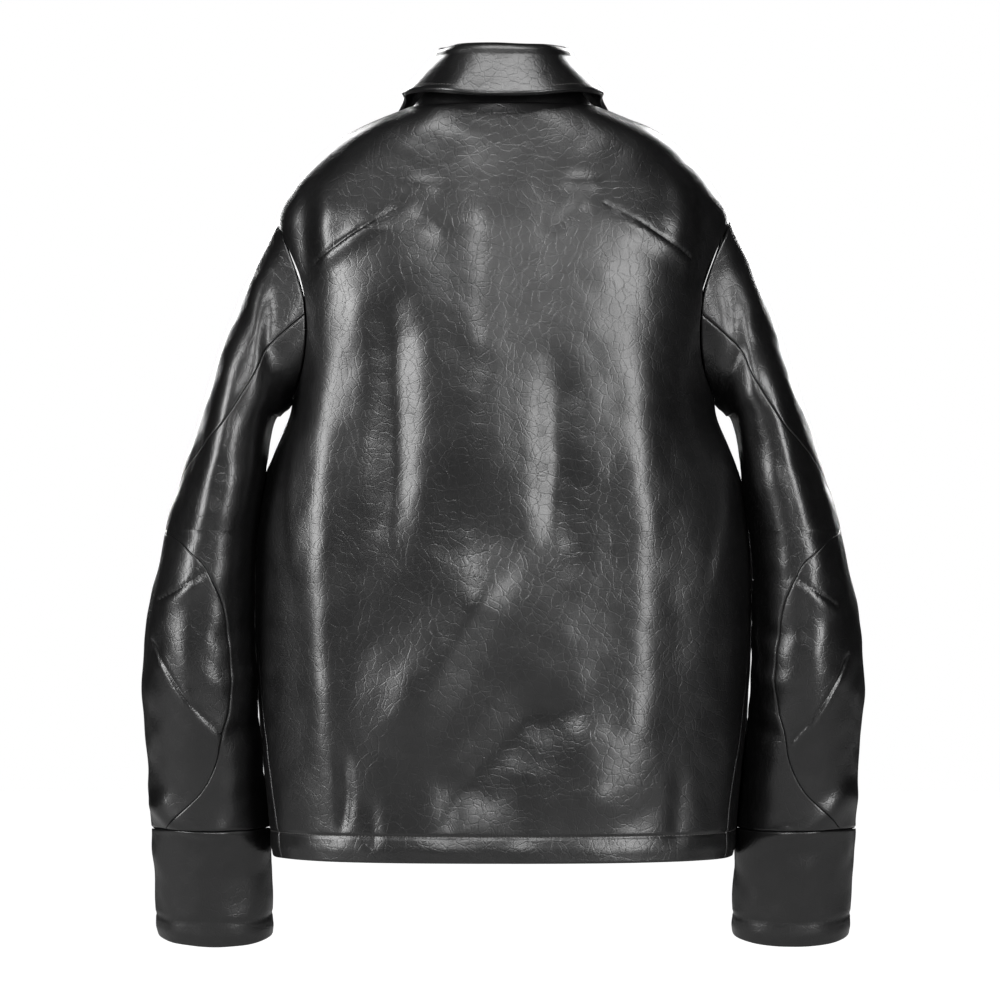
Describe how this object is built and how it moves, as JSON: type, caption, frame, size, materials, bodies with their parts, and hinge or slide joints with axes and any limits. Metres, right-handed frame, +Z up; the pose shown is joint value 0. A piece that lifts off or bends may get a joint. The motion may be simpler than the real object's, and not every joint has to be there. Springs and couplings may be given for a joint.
{
  "type": "leather welding jacket",
  "caption": "Black leather welding jacket hanging from its loop: turned-down collar, set-in sleeves with elbow panels, press-stud front, patch pockets and lining.",
  "frame": {"origin": "middle of the underside of the hanger loop's strap, inside the back of the neck", "axes": "+Z up along the hanging jacket, -Y towards the jacket's front, +X towards the wearer's left"},
  "size_m": [0.6372, 0.2686, 0.7951],
  "materials": {
    "leather": "soft satin grain",
    "lining": "smooth woven",
    "studs": "dark gunmetal"
  },
  "bodies": {
    "torso": {"back_panel": "leather", "side_front_left": "leather", "side_front_right": "leather", "lining_back": "lining", "lining_side_left": "lining", "lining_side_right": "lining", "hem_facing": "leather", "neck_facing": "leather", "hanger_loop": "leather", "top_collar": "leather", "under_collar": "leather", "stud_cap_1": "studs", "stud_socket_1": "studs", "stud_1": "studs", "stud_post_1": "studs"},
    "front_left": {"lower_front_left": "leather", "upper_front_left": "leather", "lining_front_left": "lining", "front_facing_left": "leather", "pocket_left": "leather", "stud_cap_2": "studs", "stud_cap_3": "studs", "stud_cap_4": "studs", "stud_cap_5": "studs", "stud_socket_2": "studs", "stud_socket_3": "studs", "stud_socket_4": "studs", "stud_socket_5": "studs"},
    "front_right": {"lower_front_right": "leather", "upper_front_right": "leather", "lining_front_right": "lining", "front_facing_right": "leather", "pocket_right": "leather", "stud_2": "studs", "stud_3": "studs", "stud_4": "studs", "stud_5": "studs", "stud_post_2": "studs", "stud_post_3": "studs", "stud_post_4": "studs", "stud_post_5": "studs"},
    "sleeve_left": {"upper_sleeve_left": "leather", "outer_sleeve_left": "leather", "under_sleeve_left": "leather", "sleeve_lining_upper_left": "lining"},
    "forearm_left": {"forearm_left": "leather", "elbow_panel_left": "leather", "elbow_inside_left": "leather", "sleeve_lining_lower_left": "lining", "cuff_facing_left": "leather"},
    "sleeve_right": {"upper_sleeve_right": "leather", "outer_sleeve_right": "leather", "under_sleeve_right": "leather", "sleeve_lining_upper_right": "lining"},
    "forearm_right": {"forearm_right": "leather", "elbow_panel_right": "leather", "elbow_inside_right": "leather", "sleeve_lining_lower_right": "lining", "cuff_facing_right": "leather"}
  },
  "joints": [
    {"name": "front_left_swing", "type": "hinge", "parent": "torso", "child": "front_left", "pos_m": [0.13, -0.1897, -0.645], "axis": [0, 0.0434, 0.9991], "range_deg": [0, 45], "deforming": ["upper_front_left", "lining_front_left", "front_facing_left"]},
    {"name": "front_right_swing", "type": "hinge", "parent": "torso", "child": "front_right", "pos_m": [-0.13, -0.1897, -0.645], "axis": [0, 0.0434, 0.9991], "range_deg": [-32, 0], "deforming": ["upper_front_right", "lining_front_right", "front_facing_right"]},
    {"name": "shoulder_left_raise", "type": "hinge", "parent": "torso", "child": "sleeve_left", "pos_m": [0.19, -0.0785, -0.114], "axis": [0, -1, 0], "range_deg": [0, 45], "deforming": ["outer_sleeve_left", "under_sleeve_left", "sleeve_lining_upper_left"]},
    {"name": "elbow_left_bend", "type": "hinge", "parent": "sleeve_left", "child": "forearm_left", "pos_m": [0.2655, -0.0725, -0.474], "axis": [-1, 0, 0], "range_deg": [0, 80], "deforming": ["elbow_panel_left", "elbow_inside_left", "sleeve_lining_lower_left"]},
    {"name": "shoulder_right_raise", "type": "hinge", "parent": "torso", "child": "sleeve_right", "pos_m": [-0.19, -0.0785, -0.114], "axis": [0, 1, 0], "range_deg": [0, 45], "deforming": ["outer_sleeve_right", "under_sleeve_right", "sleeve_lining_upper_right"]},
    {"name": "elbow_right_bend", "type": "hinge", "parent": "sleeve_right", "child": "forearm_right", "pos_m": [-0.2655, -0.0725, -0.474], "axis": [-1, 0, 0], "range_deg": [0, 80], "deforming": ["elbow_panel_right", "elbow_inside_right", "sleeve_lining_lower_right"]}
  ],
  "couplings": [
    {"joint": "front_right_swing", "follows": "front_left_swing", "ratio": -0.7}
  ]
}
